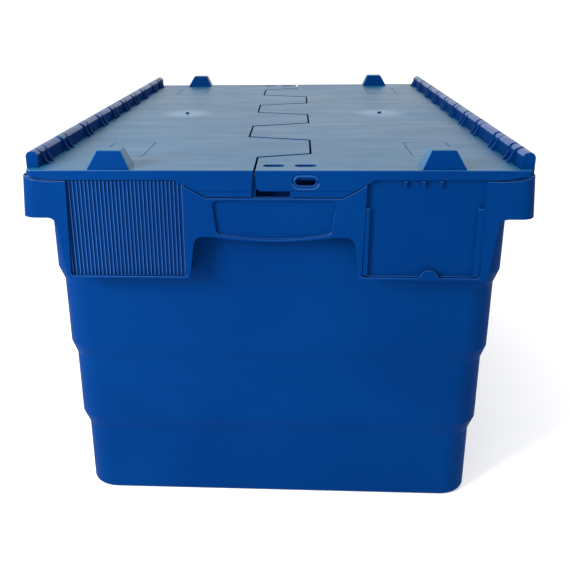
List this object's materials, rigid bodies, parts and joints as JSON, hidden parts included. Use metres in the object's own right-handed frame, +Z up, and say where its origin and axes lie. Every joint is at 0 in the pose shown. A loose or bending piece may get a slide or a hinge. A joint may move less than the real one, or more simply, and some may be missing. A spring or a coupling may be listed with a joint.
{
  "type": "attached lid container",
  "caption": "Nestable storage crate with stepped walls, grip plates at both ends and interlocking lid halves hinged along the long sides.",
  "frame": {"origin": "on the floor, under the middle of the tub", "axes": "+Z up, +Y along the length from one handle end to the other, +X across towards the right lid's hinge"},
  "size_m": [0.4, 0.6, 0.3245],
  "materials": {
    "blue_plastic": "satin moulded polypropylene with a fine reeded grain on the lids",
    "steel_wire": "drawn bright wire"
  },
  "bodies": {
    "crate": {"crate_body": "blue_plastic", "hinge_rod_left": "steel_wire", "hinge_rod_right": "steel_wire"},
    "left_lid": {"lid_left": "blue_plastic"},
    "right_lid": {"lid_right": "blue_plastic"}
  },
  "joints": [
    {"name": "left_lid_hinge", "type": "hinge", "parent": "crate", "child": "left_lid", "pos_m": [-0.1902, 0, 0.3175], "axis": [0, -1, 0], "range_deg": [0, 250]},
    {"name": "right_lid_hinge", "type": "hinge", "parent": "crate", "child": "right_lid", "pos_m": [0.1902, 0, 0.3175], "axis": [0, 1, 0], "range_deg": [0, 250]}
  ]
}
